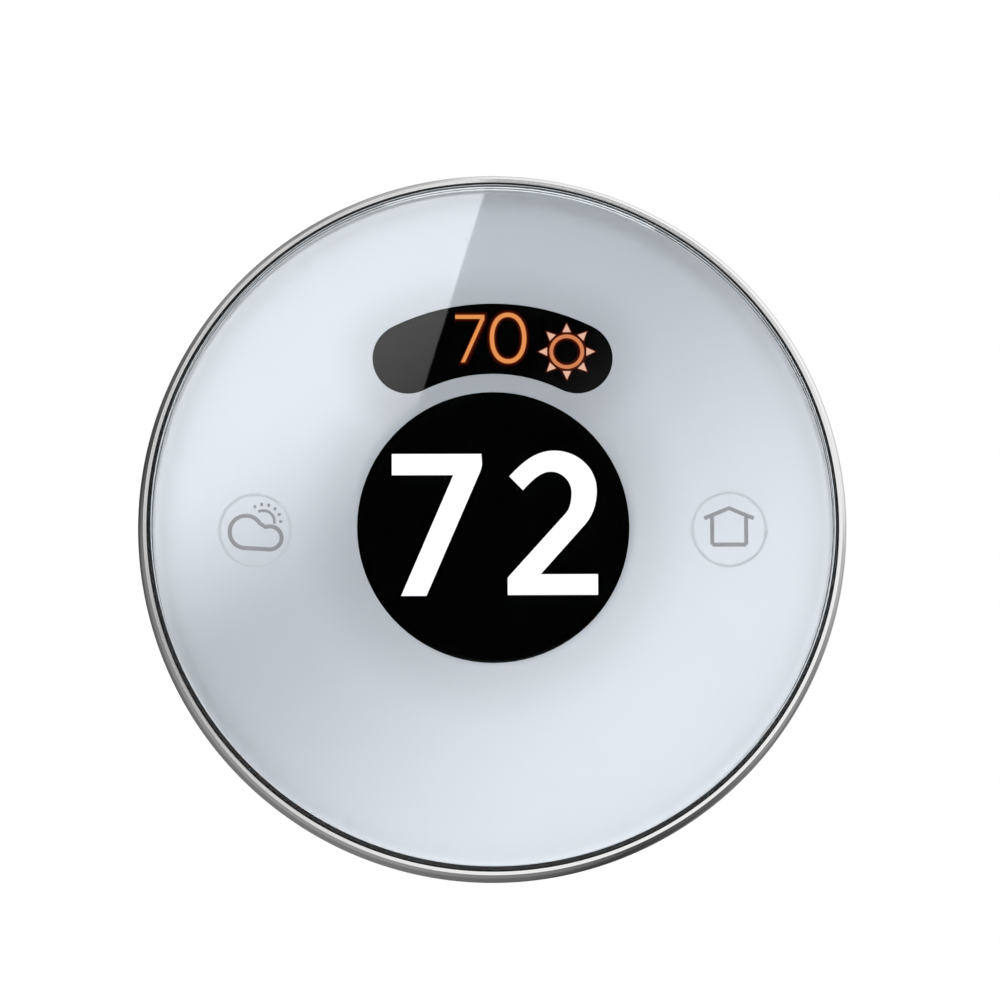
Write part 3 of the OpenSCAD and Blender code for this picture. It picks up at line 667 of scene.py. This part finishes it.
def make_light_wall():
    """A black flag in front of the thermostat with a slanted soft panel in it and a pale frame round it.

    Everything is measured where the face mirrors it, so the positions are in mm on the front of the lens.
    """
    to_face = LENS_FRONT * MM - WALL_DISTANCE
    nearer = -camera.location.y - LENS_FRONT * MM
    growth = 1 - to_face / nearer
    middle_x = camera.location.x * to_face / nearer
    middle_z = camera.location.z * to_face / nearer
    material = bpy.data.materials.new("light_wall")
    material.use_nodes = True
    tree = material.node_tree
    tree.nodes.clear()
    x, z, depth = parts_of(tree, scaled(tree, place_on_object(tree), 1 / (growth * MM)))

    def slope(a, b, c):
        """a * x + b * z + c over the face."""
        return scalar(tree, "ADD", scalar(tree, "MULTIPLY_ADD", x, a, c), scalar(tree, "MULTIPLY", z, b))

    radius = span(tree, x, z)
    beside = between(tree, radius, DISPLAY_RADIUS, DISPLAY_RADIUS + 1.2)
    edge = between(tree, slope(-1.0, PANEL_SLANT, -PANEL_SLANT * 29.0 - 4.9), -0.15, 0.15)
    fade = between(tree, slope(-0.7, 1.0, 0.0), *PANEL_FADE)
    panel = scalar(tree, "MULTIPLY", scalar(tree, "MULTIPLY", edge, fade), PANEL_POWER)
    low_glow = between(tree, slope(0.71, -0.71, 0.0), -12.0, 32.0, 0.0, LOW_GLOW_POWER)
    inside = scalar(tree, "MULTIPLY", scalar(tree, "ADD", panel, low_glow), beside)
    outside = between(tree, radius, LENS_RADIUS + 0.2, LENS_RADIUS + 0.4)
    frame_light = between(tree, slope(0.87, -0.5, 0.0), -44.0, -12.0, 0.40, 0.95)
    glow = feed(tree, add(tree, "ShaderNodeEmission"), Color=(1.0, 0.99, 0.98, 1),
                Strength=mixed(tree, outside, inside, frame_light, "FLOAT"))
    out = add(tree, "ShaderNodeOutputMaterial")
    tree.links.new(glow.outputs[0], out.inputs["Surface"])
    wall = stage_plane("light_wall", 0.42, (middle_x, -WALL_DISTANCE, middle_z), (math.radians(90), 0, 0),
                       material)
    wall.visible_camera = False
    wall.visible_shadow = False
    wall.visible_diffuse = False


WALL_DISTANCE = 0.9933
PANEL_SLANT, PANEL_FADE, PANEL_POWER = 0.31, (6.0, 34.0), 1.12
LOW_GLOW_POWER = 1.02
make_light_wall()

floor_paint = moulded_plastic("floor_paint", (0.86, 0.86, 0.86), 0.6, grain=400.0, depth=0.0)
stage_plane("floor", 3.0, (0, 0, -0.30), (0, 0, 0), floor_paint).visible_glossy = False


def soft_light(name, location, target, size, power, colour):
    lamp = bpy.data.lights.new(name, "AREA")
    lamp.shape, lamp.size, lamp.energy, lamp.color = "DISK", size, power, colour
    lamp_object = bpy.data.objects.new(name, lamp)
    lamp_object.location = location
    lamp_object.rotation_euler = (Vector(target) - Vector(location)).to_track_quat("-Z", "Y").to_euler()
    lamp_object.visible_glossy = False
    bpy.context.scene.collection.objects.link(lamp_object)


soft_light("upper_left_light", (-0.45, -0.35, 0.50), (0, -0.02, 0), 0.35, 1.8, (1.0, 0.98, 0.95))
soft_light("rear_right_light", (0.50, 0.40, 0.25), (0, -0.02, 0), 0.35, 1.8, (0.96, 0.98, 1.0))

ROOM_LIGHT, LENS_LIGHT = 0.66, 2.25
FRONT_WALL, BRIGHT_WAY = 0.8, (0.643, 0.766)
WALL_LEVELS = ((0.0, 0.25), (0.15, 0.18), (0.33, 0.06), (0.42, 0.09), (0.59, 0.25), (0.68, 0.22), (0.82, 0.42),
               (0.90, 0.75), (1.0, 0.85))


def walls_by_direction(tree, x, z):
    """The room as the bright metal mirrors it: light towards the upper right, dark beside and below."""
    towards = scalar(tree, "ADD", scalar(tree, "MULTIPLY", x, BRIGHT_WAY[0]),
                     scalar(tree, "MULTIPLY", z, BRIGHT_WAY[1]))
    upward = scalar(tree, "DIVIDE", towards, span(tree, x, z))
    walls = add(tree, "ShaderNodeValToRGB")
    walls.color_ramp.interpolation = "EASE"
    for position, level in WALL_LEVELS:
        if position in (0.0, 1.0):
            stop = walls.color_ramp.elements[-int(position)]
        else:
            stop = walls.color_ramp.elements.new(position)
        stop.color = (level, level, level, 1)
    tree.links.new(scalar(tree, "MULTIPLY_ADD", upward, 0.5, 0.5), walls.inputs["Fac"])
    return walls.outputs["Color"]


def make_room():
    """A white backdrop, with one light for what is clear, one for what is bright and one for the rest."""
    world = bpy.data.worlds.new("studio")
    bpy.context.scene.world = world
    world.use_nodes = True
    tree = world.node_tree
    tree.nodes.clear()
    seen = add(tree, "ShaderNodeLightPath")
    x, y, z = parts_of(tree, add(tree, "ShaderNodeTexCoord").outputs["Generated"])
    forward = scalar(tree, "MULTIPLY", y, -1.0)
    walls = scaled(tree, walls_by_direction(tree, x, z), between(tree, forward, -0.9, -0.6, 0.75, 1.25))
    mirrored = mixed(tree, between(tree, forward, 0.88, 0.95), walls, (FRONT_WALL, FRONT_WALL, FRONT_WALL, 1))
    through = scalar(tree, "MULTIPLY", seen.outputs["Is Transmission Ray"], between(tree, forward, -0.1, 0.15))
    even = mixed(tree, through, (ROOM_LIGHT, ROOM_LIGHT, ROOM_LIGHT, 1),
                 (LENS_LIGHT * 0.98, LENS_LIGHT * 0.99, LENS_LIGHT, 1))
    opaque = scalar(tree, "SUBTRACT", 1.0, seen.outputs["Is Transmission Ray"])
    around = mixed(tree, scalar(tree, "MULTIPLY", seen.outputs["Is Glossy Ray"], opaque), even, mirrored)
    ambient = feed(tree, add(tree, "ShaderNodeBackground"), Color=around, Strength=1.0)
    backdrop = feed(tree, add(tree, "ShaderNodeBackground"), Color=(1, 1, 1, 1), Strength=1.0)
    choose = add(tree, "ShaderNodeMixShader")
    tree.links.new(seen.outputs["Is Camera Ray"], choose.inputs["Fac"])
    tree.links.new(ambient.outputs[0], choose.inputs[1])
    tree.links.new(backdrop.outputs[0], choose.inputs[2])
    world_out = add(tree, "ShaderNodeOutputWorld")
    tree.links.new(choose.outputs[0], world_out.inputs["Surface"])


make_room()

scene = bpy.context.scene
scene.view_settings.view_transform = "Standard"
scene.cycles.max_bounces = 12
scene.cycles.transmission_bounces = 10
